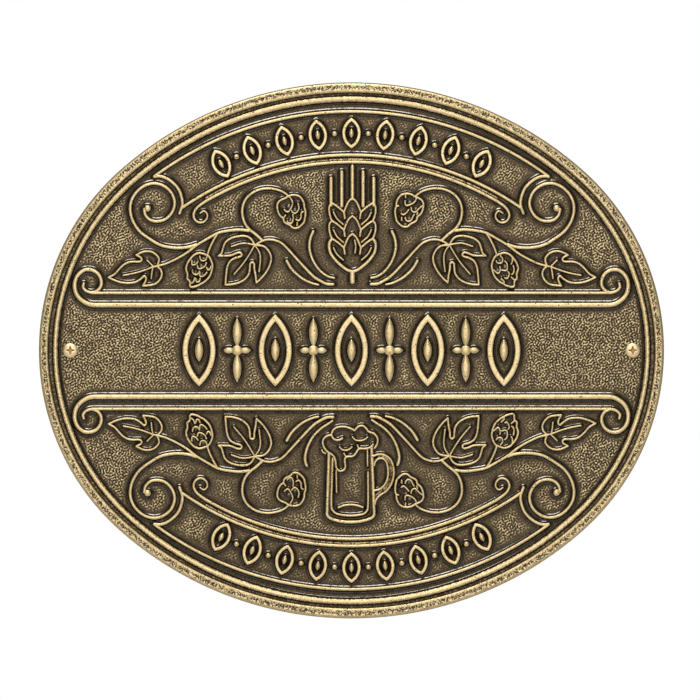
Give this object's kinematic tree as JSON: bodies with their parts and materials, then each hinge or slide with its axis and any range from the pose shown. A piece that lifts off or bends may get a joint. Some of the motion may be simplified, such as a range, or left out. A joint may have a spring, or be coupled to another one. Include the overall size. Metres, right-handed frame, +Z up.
{
  "type": "wall plaque",
  "caption": "Oval cast wall plaque with a moulded rim, raised bars, arched banners and scrollwork relief, held to a wall by screws in plugs.",
  "frame": {"origin": "centre of the casting's back face, in the plane of the wall", "axes": "+X to the right along the plaque's width as it is read, +Z up, +Y into the wall, so the front faces -Y"},
  "size_m": [0.2986, 0.0382, 0.256],
  "materials": {
    "antique_brass": "antique brass, wiped dark in the recesses",
    "screw_brass": "satin",
    "plug_nylon": "matte"
  },
  "bodies": {
    "root": {"casting": "antique_brass", "screw_left": "screw_brass", "screw_right": "screw_brass", "wall_plug_left": "plug_nylon", "wall_plug_right": "plug_nylon"}
  },
  "joints": []
}
